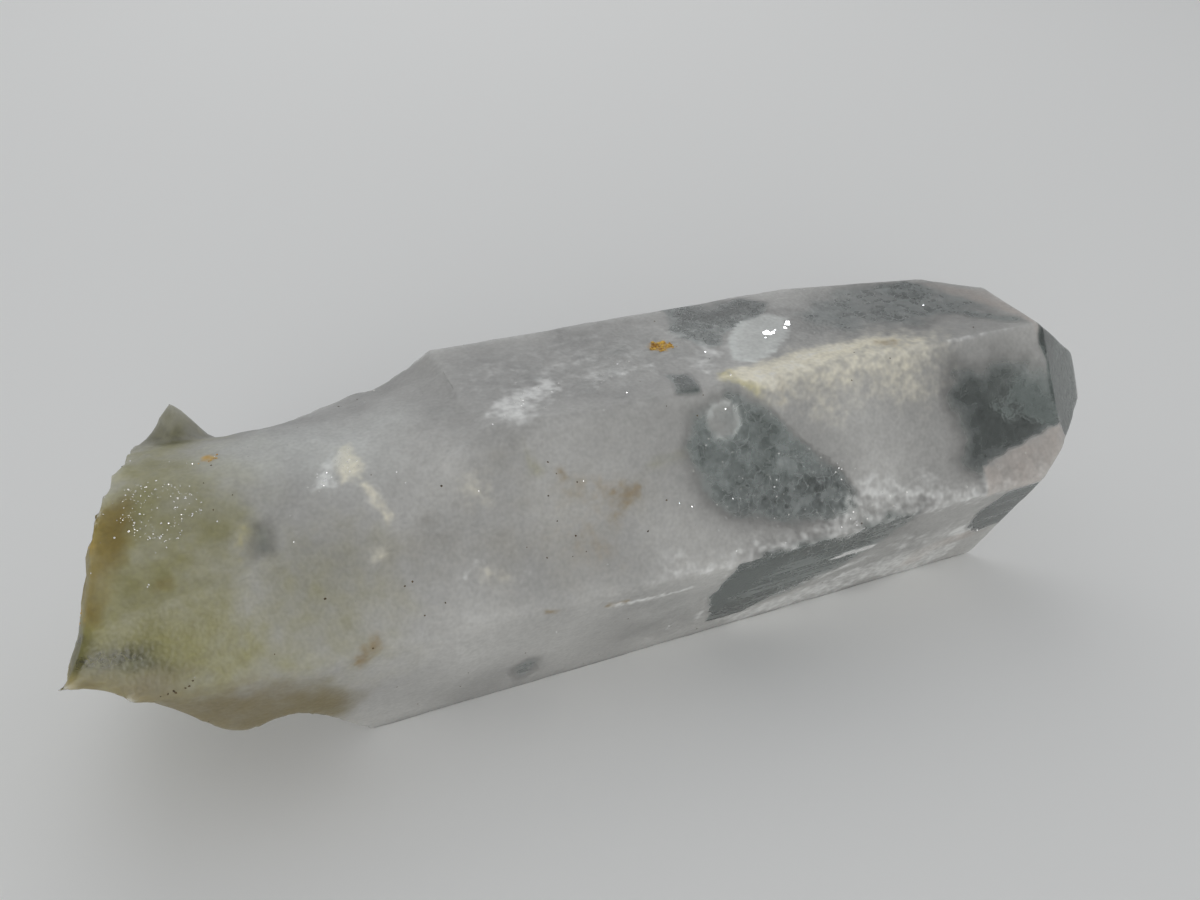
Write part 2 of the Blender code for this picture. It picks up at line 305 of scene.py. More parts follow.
def sculpted(points, triangles, onFlat, ridges, s):
    # the crisp ridges are worn by a varying amount, the front ridge dies out towards the break, the crease
    # between the break and the flat faces is eased, and the breaks get hackle and grain. The broken end also
    # gets shell-like ripples, a cosine of the distance from where the blow fell. All go inwards.
    # Returns the points, how broken each is, and where small chips whiten the ridges: worn chips, and a
    # painted highlight where the ridges catch the light
    pairs = np.concatenate([triangles[:, [0, 1]], triangles[:, [1, 2]], triangles[:, [2, 0]]])
    pairs = np.unique(np.sort(pairs, axis=1), axis=0)
    count = np.bincount(pairs.ravel())[:, None]
    corners = triangles.ravel()
    broken = (np.bincount(corners, np.repeat(onFlat == 0, 3)) / np.bincount(corners))[:, None]
    for _ in range(s["blurRounds"]):
        broken = 0.5 * broken + 0.5 * neighbourMean(broken, pairs, count)
    broken = broken[:, 0]
    x, y, z = points.T
    turn = np.degrees(np.arctan2(-y, z - axisHeight))
    ridgeFar = lineDistance(points, ridges[ridges[:, 6] == 2])
    creaseFar = lineDistance(points, ridges[ridges[:, 6] == 1])
    uneven = s["wearMean"] + s["wearVaries"] * roughNoise(points, *s["wearNoise"])
    wear = bell(ridgeFar, s["wearMm"]) * np.clip(uneven, s["leastWear"], 1)
    faded = bell(ridgeFar, s["fadedMm"]) * (plateau(turn, *s["fadedTurn"]) * ramp(x, *s["fadedFromX"]))
    upperFront = plateau(turn, *s["softTurn"]) * (1 - ramp(x, *s["softToX"]))
    softened = s["softShare"] * bell(ridgeFar, s["softMm"]) * upperFront
    upperBreak = ramp(z, *s["creaseZ"]) * ramp(y, *s["creaseY"]) * plateau(x, *s["creaseX"])
    crease = bell(creaseFar, s["creaseMm"], s["creaseSteep"]) * upperBreak
    eased = np.maximum(crease + softened, faded)
    for i in range(s["creaseRounds"]):
        share = eased.copy()
        if i < s["wearRounds"]:
            share += wear
        if i < s["breakRounds"]:
            share += s["breakShare"] * broken
        share = s["roundShare"] * np.clip(share, 0, 1)[:, None]
        points = points + share * (neighbourMean(points, pairs, count) - points)
    hackle = 0.5 + 0.5 * roughNoise(points * s["hackleStretch"], *s["hackleNoise"])
    grain = 0.5 + 0.5 * roughNoise(points, *s["grainNoise"])
    pits = ramp(roughNoise(points, *s["pitNoise"]), *s["pitRamp"])
    blow = np.linalg.norm(points - s["rippleFrom"], axis=1)
    blow += s["rippleVariesMm"] * roughNoise(points, *s["rippleNoise"])
    ripple = 0.5 + 0.5 * np.cos(2 * np.pi * blow / s["rippleMm"])
    depth = broken * (s["hackleDepthMm"] * hackle + s["grainDepthMm"] * grain)
    depth += (1 - broken) * s["pitDepthMm"] * pits
    depth += broken * ramp(x, *s["endX"]) * (s["endDepthMm"] * hackle + s["rippleDepthMm"] * ripple)
    chipsAndHighlight = ramp(roughNoise(points, *s["chipHighlightNoise"]), *s["chipHighlightRamp"])
    # partly worn chips, partly a painted highlight along the crisp ridges
    chipsAndHighlight = bell(ridgeFar, s["chipHighlightMm"]) * chipsAndHighlight * (1 - eased)
    return points - cornerNormals(points, triangles) * depth[:, None], broken, np.clip(chipsAndHighlight, 0, 1)


points, triangles, onFlat, ridges = meshedSolid(surfaceSettings)
points, triangles, onFlat = unfolded(points, triangles, onFlat)
print("crystal meshed:", len(points), "points,", len(triangles), "triangles,", len(ridges), "ridge pieces")
points, broken, chipsAndHighlight = sculpted(points, triangles, onFlat, ridges, surfaceSettings)
normals = cornerNormals(points, triangles)
print("crystal sculpted")


# where the crystal is clear, stained, white or dirty, with painted shade and painted ridge highlights among
# them

def mark(soft, level, outline, wander=1.3, **shares):
    # soft is the width of a mark's border in mm, level how strong the mark is, and wander how far its border
    # strays. The outline goes round it as (mm along the crystal, degrees round it from its top to the front)
    return {"soft": soft, "level": level, "outline": outline, "wander": wander, **shares}


# deep is painted shade, how dark a clear window is tinted to stand in for the dim view through it, and frost
# how much of it the small cracks cloud
clearMarks = {
    "snowWindow": mark(4.6, 1, [
        (3.8, 37), (8, 35), (10.6, 38), (13.3, 52), (16.6, 66), (18.6, 78), (16.7, 83), (11.8, 81), (6.6, 74),
        (3.5, 64), (3, 48)], wander=0.6, deep=0.3, frost=0.9),
    "tipWindow": mark(6, 0.92, [
        (27.4, 49), (29.3, 42), (33.5, 40), (37.8, 46), (40.2, 57), (40.2, 71), (36.6, 78), (33.2, 82),
        (30.2, 84), (28.4, 75), (28, 62)], wander=0.7, deep=0.45, frost=0.25),
    "lowerWindow": mark(0.5, 1.1, [
        (5.6, 89), (5.2, 100), (5.2, 117), (6.3, 141), (10, 141), (12, 134), (13, 120), (14, 105),
        (15, 89)], wander=0.3, deep=1, frost=0.9),
    "lowerWindowFar": mark(4.5, 1, [
        (7, 87), (7, 138), (12.5, 134), (15.5, 130), (18.5, 122), (19.5, 110), (22.5, 96),
        (24, 87)], wander=0.8, deep=1, frost=0.9),
    "lowerLeft": mark(2.5, 0.35, [(-2.5, 97), (5.6, 98), (5.6, 141), (1, 143), (-3, 130)], deep=0.4),
    "lowerMiddle": mark(2.5, 0.35, [(17, 89), (24, 89), (30, 132), (15, 147)], deep=0.3),
    "lowerFar": mark(1.6, 0.95, [
        (31.8, 90), (39.5, 90), (39.5, 120), (34.6, 130), (32.6, 122)], deep=0.7, frost=0.5),
    "lowSpot": mark(1.8, 0.6, [
        (-12.8, 128), (-11.5, 119), (-9.6, 128), (-9.4, 141), (-11.4, 145)], wander=0.6, deep=0.4),
    # painted shade: a dim, partly clear veil that darkens the top face, which faces the light
    "paintedTopShade": mark(7, 0.4, [
        (-10, -26), (38, -26), (42, 0), (36, 22), (10, 16), (-2, 28), (-12, 18)], wander=2.5, deep=0.4),
    "topWindow": mark(2, 1, [
        (8, -25), (12.1, -27), (16.5, -27), (19, -23), (17.4, -13), (12.8, -4), (10.3, 6), (8.5, -2),
        (7.6, -12)], deep=0.8, frost=0.35),
    "topFarWindow": mark(5, 0.66, [
        (24, -26), (32, -24), (36, -14), (38, 6), (36, 24), (27.1, 18), (20, 12), (18, 6),
        (19, -12)], deep=0.5),
    "topFarDark": mark(2.4, 0.95, [
        (28.5, -21), (32.6, -20), (33.8, -8), (32.2, 1), (29, -6)], deep=0.6, frost=0.3),
    "topFarBand": mark(1.8, 0.7, [(30.5, 8), (34, 14), (37, 25), (38, 32), (35.5, 29), (32, 20)], deep=0.5),
    "pointEnd": mark(1.2, 1.1, [(38.9, 10), (46, 10), (46, 110), (38.9, 100)], deep=1, frost=0.5),
    "topPatch": mark(1.4, 1, [(3.4, 17), (5.7, 20), (5.3, 32), (2.7, 30)], wander=0.7, deep=0.6, frost=0.3),
    "leftPatch": mark(1.8, 0.55, [(-31.1, 36), (-29.1, 39), (-29.6, 52), (-31.6, 51)], wander=0.5, deep=0.4),
    "greenPatch": mark(3.4, 0.85, [
        (-44.2, 62), (-41, 61), (-38.6, 66), (-38.8, 76), (-41.7, 75), (-44.4, 73)], deep=0.5),
    "horn": mark(2, 0.45, [(-38, -45), (-33, -40), (-33, -12), (-37, -18)], deep=0.3),
    "leftEnd": mark(8, 0.22, [
        (-47, 30), (-40, 0), (-36, -25), (-33, 0), (-31, 35), (-31, 55), (-34, 76), (-47, 80)], deep=0.3),
    "bluishBody": mark(6, 0.3, [(-19.5, 47), (-15.4, 50), (-16, 66), (-20.2, 64)], deep=0.1),
    "backWindow": mark(5, 1, [
        (8, -40), (24, -44), (30, -70), (22, -86), (10, -80), (5, -60)], deep=0.4, frost=0.8),
    "backLowWindow": mark(5, 0.7, [(-4, -100), (16, -96), (28, -110), (24, -140), (4, -138)], deep=0.4),
    "underWindow": mark(3, 0.7, [(0, 155), (26, 155), (34, 178), (8, 178)], deep=0.4),
    "underBackWindow": mark(2.5, 0.8, [(12, -178), (30, -178), (32, -156), (16, -152)], deep=0.4),
}
openMarks = {  # clean places in the windows, where no small cracks cloud them
    "snowUpper": mark(1.6, 0.6, [(9.9, 43), (11.7, 45), (11.8, 50), (10.2, 51)]),
    "snowMiddle": mark(1.6, 0.6, [(9.4, 53), (11.2, 54), (11, 61), (9.2, 59)]),
    "snowLower": mark(1.6, 0.6, [(5.8, 55), (7.6, 56), (7.3, 62), (5.8, 60)]),
    "snowLeft": mark(1.2, 0.6, [(4.5, 49), (6.1, 50), (5.8, 54), (4.4, 53)]),
    "lowerDark": mark(2.5, 0.5, [(5, 90), (11, 90), (11, 106), (8, 130), (5, 130)]),
}
milkMarks = {  # milk that cuts into the windows, with a crisp side
    "healedSide": mark(0.5, 1, [
        (10.9, 37), (13.4, 52), (16.6, 66), (17.9, 78), (26, 84), (27, 40)], wander=0.15),
    "roundFlake": mark(0.5, 0.45, [
        (5.1, 40), (5.8, 36.5), (7, 35), (8, 37), (8.3, 42), (7.6, 46), (6.3, 47.5), (5.3, 45)], wander=0.1),
    "peachFacet": mark(0.3, 1, [(30.2, 79), (38.9, 70), (40.2, 78), (40, 90), (30, 90)], wander=0.2),
}
colourMarks = {}
colourMarks["olive"] = {
    "leftEnd": mark(13, 0.7, [
        (-48, 20), (-40, -10), (-37, -40), (-32, -34), (-31, 5), (-31, 40), (-32, 56), (-31, 78),
        (-48, 84)], wander=2),
    # partly olive stain, partly painted shade: darker towards the lower left end
    "leftLow": mark(10, 1, [(-50, 48), (-42, 46), (-34, 56), (-31, 80), (-50, 90)]),
    "endFace": mark(5, 0.7, [(-50, -185), (-42.5, -185), (-42.5, 185), (-50, 185)], wander=2),
    "leftBack": mark(12, 0.6, [
        (-50, -30), (-38, -30), (-33, -60), (-34, -110), (-38, -185), (-50, -185)], wander=2),
    "leftUnder": mark(10, 0.5, [(-50, 100), (-40, 100), (-32, 130), (-34, 185), (-50, 185)], wander=2),
    # partly olive stain, partly painted shade: darker towards the lower left end
    "bodyLow": mark(10, 0.42, [(-33, 46), (-23, 50), (-22, 98), (-33, 95)], wander=2),
    "fleckPatch": mark(1.6, 0.4, [(-10.4, 36), (-9.6, 37), (-8.7, 44), (-9.5, 47), (-10.4, 42)]),
    "paleStreak": mark(1.4, 0.35, [(-0.7, 51), (0.8, 48), (2.9, 47), (2.3, 51), (0.4, 55)]),
}
colourMarks["amber"] = {
    "leftEdge": mark(3, 0.85, [
        (-46, 42), (-45, 28), (-42.5, 19), (-38.6, 20), (-39.2, 38), (-40.4, 49), (-42, 58), (-47, 58)]),
    "leftRim": mark(1.6, 0.7, [(-45.2, 60), (-44.2, 60), (-44.2, 80), (-45.6, 82)]),
    "backRim": mark(4, 0.5, [(-47, -50), (-41, -45), (-39, -75), (-41, -100), (-47, -95)]),
    "leftSpot": mark(1, 0.5, [(-38.2, 47), (-37.4, 47), (-37.5, 51), (-38.3, 51)]),
}
colourMarks["beige"] = {
    # partly beige stain, partly painted shade: darker along the lower rim of the left end
    "lowerRim": mark(5, 1, [
        (-50, 74), (-40, 77), (-33, 86), (-28, 96), (-24, 112), (-26, 135), (-32, 145),
        (-47, 145)], wander=1.6),
    "body": mark(9, 0.3, [(-26, 50), (-12, 40), (0, 50), (2, 75), (-10, 84), (-26, 84)], wander=3),
}
colourMarks["brown"] = {
    "bodyUpperLeft": mark(1.8, 0.5, [(-8.5, 45), (-7.6, 44), (-5.4, 54), (-5.8, 57), (-7.6, 52), (-8.8, 54)]),
    "bodyUpperRight": mark(2.2, 0.62, [(-5, 53), (-3.1, 53), (-1.4, 58), (-2.2, 64), (-4.5, 64), (-5.2, 59)]),
    "bodyMiddle": mark(3.4, 0.45, [(-7.8, 54), (-4.8, 57), (-3.6, 62), (-6, 63), (-8, 59)]),
    "bodyLower": mark(3.6, 0.38, [(-9, 66), (-6.7, 65), (-4, 68), (-4.6, 76), (-6.7, 76), (-9.2, 71)]),
    "lowSpot": mark(1.2, 0.7, [
        (-25.9, 90), (-25.2, 84), (-24, 82), (-23.4, 86), (-24.3, 89), (-25.1, 94)], wander=0.5),
    "rustLineLeft": mark(0.5, 0.8, [(-11.1, 88), (-9.4, 90.5), (-9.4, 92), (-11, 90)], wander=0.3),
    "rustLineRight": mark(0.5, 0.8, [(-5.7, 92), (-3.6, 93), (-3.6, 94.6), (-5.6, 94)], wander=0.3),
    "backStain": mark(3.4, 0.45, [(-15, -64), (-7, -60), (-5, -74), (-11, -82), (-16, -76)]),
    "creamSpotLeft": mark(2, 0.4, [(11.6, 26), (12.9, 26), (12.9, 33), (11.8, 34)]),
    "creamSpotRight": mark(1.8, 0.5, [(22.6, 20), (25.2, 22), (24.8, 31), (22.8, 28)]),
}
colourMarks["yellow"] = {
    "creamTip": mark(1.4, 0.8, [(8.4, 29), (9.6, 26), (10.6, 30), (10, 35), (8.8, 33)]),
    "greyPatchSide": mark(1, 0.3, [
        (-31.8, 36), (-31.1, 37), (-31.3, 49), (-32.2, 51), (-32.4, 46)], wander=0.3),
    "flakeTip": mark(1, 0.45, [(-23.7, 18), (-22.6, 17), (-22.3, 24), (-23.3, 27)], wander=0.3),
}
colourMarks["cream"] = {
    "creamBand": mark(2.2, 0.95, [
        (8.4, 30), (10.3, 24), (13.7, 20), (18.5, 18.5), (23.2, 18), (25.6, 22), (23.2, 28), (18, 30.5),
        (13.6, 31.5), (11.2, 32.5), (9.4, 32)], wander=0.9),
    "creamVeil": mark(7, 0.62, [
        (10, 30), (14, 20), (25, 15), (29, 24), (29, 40), (24.5, 48), (19.5, 44), (14.5, 36)], wander=1.6),
    "flakeFan": mark(0.9, 0.85, [
        (-24.5, 24), (-23.6, 19), (-22.7, 17), (-22.4, 23), (-22.4, 29), (-23.3, 32),
        (-24.1, 32)], wander=0.4),
    "backVeil": mark(5, 0.55, [(24, -32), (34, -36), (35, -60), (29, -66), (25, -48)], wander=1.6),
    "flakeStreak": mark(0.7, 0.65, [
        (-22.7, 27), (-22.3, 34), (-21.7, 41), (-20.9, 47), (-21.6, 49), (-22.4, 41),
        (-22.9, 34)], wander=0.4),
    "leftMark": mark(1.2, 0.45, [(-23.8, 56), (-21.4, 56.5), (-21.9, 60), (-23.2, 61)], wander=0.4),
    "warmFlecks": mark(1.8, 0.4, [(-15.9, 43), (-13.8, 43), (-13.8, 50), (-15.6, 50)]),
    "lowFlecks": mark(1.8, 0.4, [(-15.7, 73), (-13.5, 73), (-13.9, 79), (-15.7, 78)]),
}
colourMarks["white"] = {
    "feather": mark(2, 0.85, [
        (-11.9, 22), (-9.8, 14), (-8, 9), (-5.6, 7), (-4.4, 13), (-6.6, 21), (-9.3, 25), (-11.4, 27)]),
    "featherFar": mark(2, 0.45, [(-3, 6), (0.7, 6), (4.4, 9), (4.2, 15), (-3, 16)]),
    "leftFlake": mark(0.5, 0.95, [(-25.7, 27), (-24.6, 28), (-24.4, 33), (-25.9, 33)], wander=0.3),
    "bodyPatch": mark(1.4, 0.4, [(-13, 61), (-11.6, 62), (-12, 68), (-13.2, 67)]),
    "bodyStreak": mark(0.9, 0.5, [
        (-17.4, 74), (-16.5, 70), (-14.8, 66.5), (-15.5, 70.5), (-16.6, 74.5)], wander=0.4),
    "lowPatch": mark(1.6, 0.35, [(-12.7, 78), (-10.8, 79), (-11, 83), (-12.7, 82)]),
    "frontRidge": mark(3.6, 0.52, [
        (-2, 86), (4, 81), (11.6, 83), (16.6, 79), (22, 77), (31.8, 81), (40, 84), (40, 89.5), (5.7, 89.5)]),
    "frontFan": mark(1.4, 0.45, [(16.8, 80), (18.4, 73), (21.5, 76), (20.5, 86), (17, 87)]),
    "lowerPatch": mark(2, 0.9, [(29.6, 118), (32, 114), (34, 126), (32, 138)]),
    "lowerMilk": mark(5, 0.35, [(21, 104), (31, 102), (32, 130), (24, 136)]),
    "lowerStreak": mark(0.4, 1, [(16, 109), (18.2, 105), (21, 106), (20.6, 110), (17.6, 111)], wander=0.2),
    "lowerFibres": mark(1, 0.5, [
        (12.5, 130), (17.2, 124), (21.5, 116), (22.5, 122), (17.5, 130), (13, 134)], wander=0.3),
    "lowerEdge": mark(1.6, 0.6, [
        (7, 143), (12.6, 138), (19, 134), (24, 128), (30, 130), (34, 140), (30, 152), (9, 152)]),
    "lowerLine": mark(0.3, 1, [
        (-5, 93.4), (-2.4, 95.6), (2.4, 97), (2.4, 98.4), (-2.6, 97.4), (-5, 95)], wander=0.1),
    "lowerSliver": mark(0.4, 0.8, [(4.4, 127), (5, 127), (5.3, 136), (4.8, 137)], wander=0.1),
    "creamCore": mark(2.4, 0.5, [(10, 30), (12, 24), (17, 19.5), (22, 18.5), (22.5, 23), (17, 27), (12, 31)]),
    "fanRight": mark(0.5, 0.45, [(5.9, 19), (7.4, 26), (9.8, 9), (9.2, -1), (7.4, 6)], wander=0.4),
    "fanLeft": mark(0.5, 0.3, [(6.6, -14), (8, -12), (8.2, 0), (6.8, 3)], wander=0.4),
    "topDots": mark(0.8, 0.6, [(32.6, 0), (33.8, 0), (33.8, 4), (32.6, 4)]),
    "backFeather": mark(2.6, 0.6, [(-16, -50), (-8, -44), (2, -46), (4, -52), (-6, -56), (-15, -60)]),
    "backRidge": mark(3.6, 0.5, [(-8, -86), (10, -83), (30, -85), (37, -90), (28, -95), (4, -94)]),
    "underStreak": mark(3, 0.45, [(-14, 168), (6, 160), (20, 166), (8, 174)]),
    "topFlecks": mark(5, 0.25, [(-12, -20), (20, -24), (20, 14), (-2, 20), (-12, 14)]),
    "flakeFan": mark(0.9, 0.6, [(-25.2, 23), (-24.2, 19), (-23.4, 20), (-23.8, 27), (-25, 28)], wander=0.4),
}
# smooth cracks inside, seen as pale discs with a brighter rim, and an even veil on the break
colourMarks["disc"] = {
    "breakVeil": mark(8, 0.4, [(-34, -10), (-17, -12), (-15, 12), (-22, 36), (-30, 38), (-35, 20)]),
    "topFlake": mark(0.5, 0.62, [
        (11.5, 3), (14.1, -9), (16.9, -13), (18.3, -5), (16.8, 8), (14.2, 17), (11.5, 21),
        (10.4, 17)], wander=0.1),
    "topFlakeRim": mark(0.4, 0.9, [
        (9.9, 18), (11.3, 3), (13.9, -10), (14.5, -8), (12, 4), (10.9, 17), (11.8, 19.5), (14.2, 15.5),
        (14.4, 17.5), (11.5, 22)], wander=0.1),
    "roundFlake": mark(0.4, 0.28, milkMarks["roundFlake"]["outline"], wander=0.1),
    "roundRim": mark(0.35, 0.6, [
        (4.9, 41), (5.3, 37), (6.4, 34.5), (7.6, 35), (8.4, 38.5), (8.5, 43), (7.7, 46.6), (6.5, 48),
        (5.4, 45.8), (5.8, 44.5), (6.6, 46.4), (7.4, 45.2), (8, 42.5), (7.9, 39), (7.3, 36.6), (6.5, 36.2),
        (5.7, 38), (5.4, 41)], wander=0.1),
}
colourMarks["peach"] = {
    "peachFacet": mark(0.5, 0.6, milkMarks["peachFacet"]["outline"], wander=0.2),
    "topEdge": mark(1.6, 0.6, [(33, -20), (39, 0), (39.8, 33), (38.7, 40), (37.2, 24), (35.4, 0)]),
    "lowerPatch": mark(1.5, 0.5, [(28, 130), (34, 124), (36, 134), (28, 144)]),
}
colourMarks["rust"] = {
    "ironSpot": mark(0.6, 1, [
        (4.7, -3), (5.4, -5.5), (6.2, -5), (6.4, 0), (5.7, 2.5), (4.8, 1.5)], wander=0.3),
    "backSpot": mark(0.7, 0.9, [(-20.4, -63), (-19.2, -62), (-19, -58), (-20.2, -57)], wander=0.4),
    "upperSpot": mark(0.6, 0.9, [(-32.8, 6), (-31.9, 6), (-31.9, 10), (-32.8, 10)], wander=0.4),
    "edgeSpot": mark(0.6, 0.7, [(-43.9, 53), (-43.1, 52), (-43.2, 57), (-44.1, 58)], wander=0.4),
    "edgeSpotLow": mark(0.5, 0.9, [(-44.5, 56), (-43.9, 56), (-44, 60), (-44.7, 60)], wander=0.4),
    "edgeSpotHigh": mark(0.5, 0.35, [(-42, 33), (-41.3, 33), (-41.5, 38), (-42.2, 38)], wander=0.4),
}
fieldSettings = {
    "wanderMm": 4.0, "wanderSeeds": (61, 71),
    "lowerY": (-2, -5), "lowerZ": (12.5, 13.5),  # where the lower face starts, whose windows have streaks
    "rimMm": (4, 10),  # on the broken end only the olive stain goes on from the rim to the middle
    # how white the chips and the painted ridge highlight make the ridges
    "chipHighlightWhite": 0.4,
}


def laidOut(spots):
    # spots given as (mm along, degrees round) on the unrolled surface: x, and girth times the angle
    return np.array([(x, girth * math.radians(turn)) for x, turn in spots])


def unrolled(points):
    # x along the crystal, and the arc round it from its top towards the front: girth times the angle
    turn = np.arctan2(-points[:, 1], points[:, 2] - axisHeight)
    return np.stack([points[:, 0], girth * turn], 1)


def depthInside(places, outline):
    # distance to the nearest side of an outline, positive inside it, where a line to the right crosses it
    # an odd number of times
    corners = laidOut(outline)
    best = np.full(len(places), np.inf)
    inside = np.zeros(len(places), bool)
    for a, b in zip(corners, np.roll(corners, -1, axis=0)):
        along = np.clip(((places - a) @ (b - a)) / ((b - a) @ (b - a)), 0, 1)
        best = np.minimum(best, np.linalg.norm(places - a - along[:, None] * (b - a), axis=1))
        if a[1] != b[1]:
            crosses = (a[1] > places[:, 1]) != (b[1] > places[:, 1])
            reach = a[0] + (places[:, 1] - a[1]) * (b[0] - a[0]) / (b[1] - a[1])
            inside ^= crosses & (places[:, 0] < reach)
    return np.where(inside, best, -best)


def markStrength(places, wander, marks, key="level", usual=0.0):
    # the strongest of the marks at each place: its level, eased to 0 over its border, which a noise shifts
    best = np.zeros(len(places))
    for one in marks.values():
        inside = depthInside(places + one["wander"] * wander, one["outline"])
        border = 0.6 * one["soft"]
        best = np.maximum(best, one.get(key, usual) * ramp(inside, -border, border))
    return best


def surfaceFields(points, s):
    places = unrolled(points)
    x, y, z = points.T
    wander = np.stack([roughNoise(points, s["wanderMm"], seed) for seed in s["wanderSeeds"]], 1)
    unclouded, cracked = (1 - markStrength(places, wander, marks) for marks in (milkMarks, openMarks))
    fields = {
        "clear": markStrength(places, wander, clearMarks) * unclouded,
        "deep": markStrength(places, wander, clearMarks, "deep"),
        "frost": markStrength(places, wander, clearMarks, "frost", 1.0) * cracked,
        "broken": broken,
        "lower": ramp(y, *s["lowerY"]) * (1 - ramp(z, *s["lowerZ"])),
    }
    rim = ramp(np.hypot(y, z - axisHeight), *s["rimMm"])
    for name, marks in colourMarks.items():
        fields[name] = markStrength(places, wander, marks) * (1 if name == "olive" else rim)
    # the ridges' whitening is partly worn chips and partly a painted highlight
    fields["white"] = np.maximum(fields["white"], s["chipHighlightWhite"] * chipsAndHighlight)
    return fields


def meshObject(name, points, faces, material, smooth=True):
    # an object at the origin from points in mm, riding on the body
    mesh = bpy.data.meshes.new(name)
    mesh.from_pydata((points * mm).tolist(), [], faces.tolist())
    mesh.polygons.foreach_set("use_smooth", np.full(len(faces), smooth))
    mesh.materials.append(material)
    mesh.update()
    made = newObject(name, mesh)
    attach(made, "root")
    return made


def addField(made, name, values):
    made.data.attributes.new(name, "FLOAT", "POINT").data.foreach_set("value", values.astype(np.float32))


fromTo = (1, 2, 3, 4)  # a MapRange node's inputs: from, to, and the values there
smoothStep = {"interpolation_type": "SMOOTHSTEP"}
rgba = {"data_type": "RGBA"}

quartzLook = {
    # the deep colour is a painted dark tint for the clear windows
    "milkDark": "#a09f9c", "milkPale": "#c0bfbb", "clear": "#dde4e1", "deep": "#65716c", "frost": "#b4b8b6",
    # what lies over the stone: its colour, the noise that breaks it up, how much, and the strengths between
    # which it sets in
    "layers": {
        "olive": ("#928d4e", "mottle", 0.8, -0.1, 1.1), "beige": ("#807554", "mottle", 0.8, 0.0, 1.2),
        "amber": ("#897737", "mottle", 1.0, 0.0, 1.1), "yellow": ("#c6bb6c", "fleck", 1.0, 0.0, 1.1),
        "cream": ("#e8e2ce", "fleck", 0.8, 0.0, 1.0), "brown": ("#8f7c58", "fleck", 1.0, 0.0, 1.1),
        "white": ("#dcdcd9", "fleck", 1.3, 0.1, 1.0), "disc": ("#d8dbd7", "mottle", 0.3, 0.0, 1.0),
        "peach": ("#b6aca4", "mottle", 0.8, 0.0, 1.1), "rust": ("#c89f45", "fleck", 0.7, 0.1, 0.9),
    },
    # stains, and the olive and beige also carry painted shade at the lower left end
    "stainsAndShade": ("olive", "amber", "beige", "brown"),  # these let as much light in as the stone does
    "faintest": 2.5,  # a layer fades out below 1 in this strength
    # each noise's size in mm, detail and roughness
    "noises": {"cloud": (11, 1, 0.5), "mottle": (2.4, 2, 0.55), "fleck": (0.9, 1, 0.75),
               "flake": (2.0, 2, 0.7), "streak": (0.8, 2, 0.65)},
    "grainMm": 0.30,  # drawn coarser than real, so that it shows
    "streakStretch": (0.13, 1, 1), "veinMm": 1.25, "veinBendMm": 2.0,
    # ramps: from, to, and the values there
    "closedRamp": (0.08, 1.15, 1, 0), "tintRamp": (0.4, 1, 0, 1), "frostRamp": (0.30, 0.80, 0.10, 0.85),
    "veinRamp": (0, 0.10, 0.62, 0), "openRamp": (0, 1, 0.98, 0.28), "milkRamp": (0.3, 0.7, 0.119, 0.021),
    "driftRamp": (0.32, 0.68, 0, 1), "unevenRamp": (0.3, 0.7, 0.91, 1.09), "dulledRamp": (0, 1, 1, 0.12),
    "borderMottle": 0.5, "fleckShare": 0.45, "driftMottle": 0.35, "grainShare": 0.5,
    "milkRoughness": 0.40, "clearRoughness": 0.18, "breakRoughness": 0.50,
    "ior": 1.544, "absorbColour": (0.57, 0.61, 0.595, 1.0), "absorbDensity": 80.0,
    "subsurface": 0.85, "subsurfaceMm": 5.0, "bumpStrength": 0.5, "bumpMm": 0.05,
}


